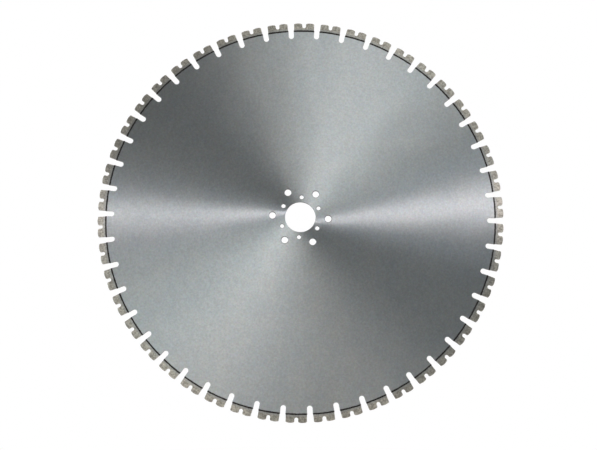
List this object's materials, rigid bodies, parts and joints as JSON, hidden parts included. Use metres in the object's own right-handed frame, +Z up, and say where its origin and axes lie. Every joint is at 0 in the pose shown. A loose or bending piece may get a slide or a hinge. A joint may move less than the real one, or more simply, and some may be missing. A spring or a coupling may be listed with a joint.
{
  "type": "diamond saw blade",
  "caption": "Large flat circular saw blade: slotted steel core, arbor bore, two hole circles and notched diamond segments welded round the rim.",
  "frame": {"origin": "centre of the arbor bore, at the core's mid thickness", "axes": "+Y along the blade's axis of rotation, from the front face to the rear face; +Z up in the blade's plane; +X to the right seen from the front"},
  "size_m": [0.7998, 0.0044, 0.7996],
  "materials": {
    "core_steel": "ground tool steel, fine concentric grinding marks",
    "diamond_matrix": "matte sintered metal matrix with diamond grit",
    "base_matrix": "matte sintered metal, no grit",
    "weld_oxide": "dark oxidised laser weld bead"
  },
  "bodies": {
    "root": {"steel_core": "core_steel", "segment_01": "diamond_matrix", "segment_02": "diamond_matrix", "segment_03": "diamond_matrix", "segment_04": "diamond_matrix", "segment_05": "diamond_matrix", "segment_06": "diamond_matrix", "segment_07": "diamond_matrix", "segment_08": "diamond_matrix", "segment_09": "diamond_matrix", "segment_10": "diamond_matrix", "segment_11": "diamond_matrix", "segment_12": "diamond_matrix", "segment_13": "diamond_matrix", "segment_14": "diamond_matrix", "segment_15": "diamond_matrix", "segment_16": "diamond_matrix", "segment_17": "diamond_matrix", "segment_18": "diamond_matrix", "segment_19": "diamond_matrix", "segment_20": "diamond_matrix", "segment_21": "diamond_matrix", "segment_22": "diamond_matrix", "segment_23": "diamond_matrix", "segment_24": "diamond_matrix", "segment_25": "diamond_matrix", "segment_26": "diamond_matrix", "segment_27": "diamond_matrix", "segment_28": "diamond_matrix", "segment_29": "diamond_matrix", "segment_30": "diamond_matrix", "segment_31": "diamond_matrix", "segment_32": "diamond_matrix", "segment_33": "diamond_matrix", "segment_34": "diamond_matrix", "segment_35": "diamond_matrix", "segment_36": "diamond_matrix", "segment_37": "diamond_matrix", "segment_38": "diamond_matrix", "segment_39": "diamond_matrix", "segment_40": "diamond_matrix", "segment_41": "diamond_matrix", "segment_42": "diamond_matrix", "segment_43": "diamond_matrix", "segment_44": "diamond_matrix", "segment_45": "diamond_matrix", "segment_46": "diamond_matrix", "segment_bases": "base_matrix", "weld_seams": "weld_oxide"}
  },
  "joints": []
}
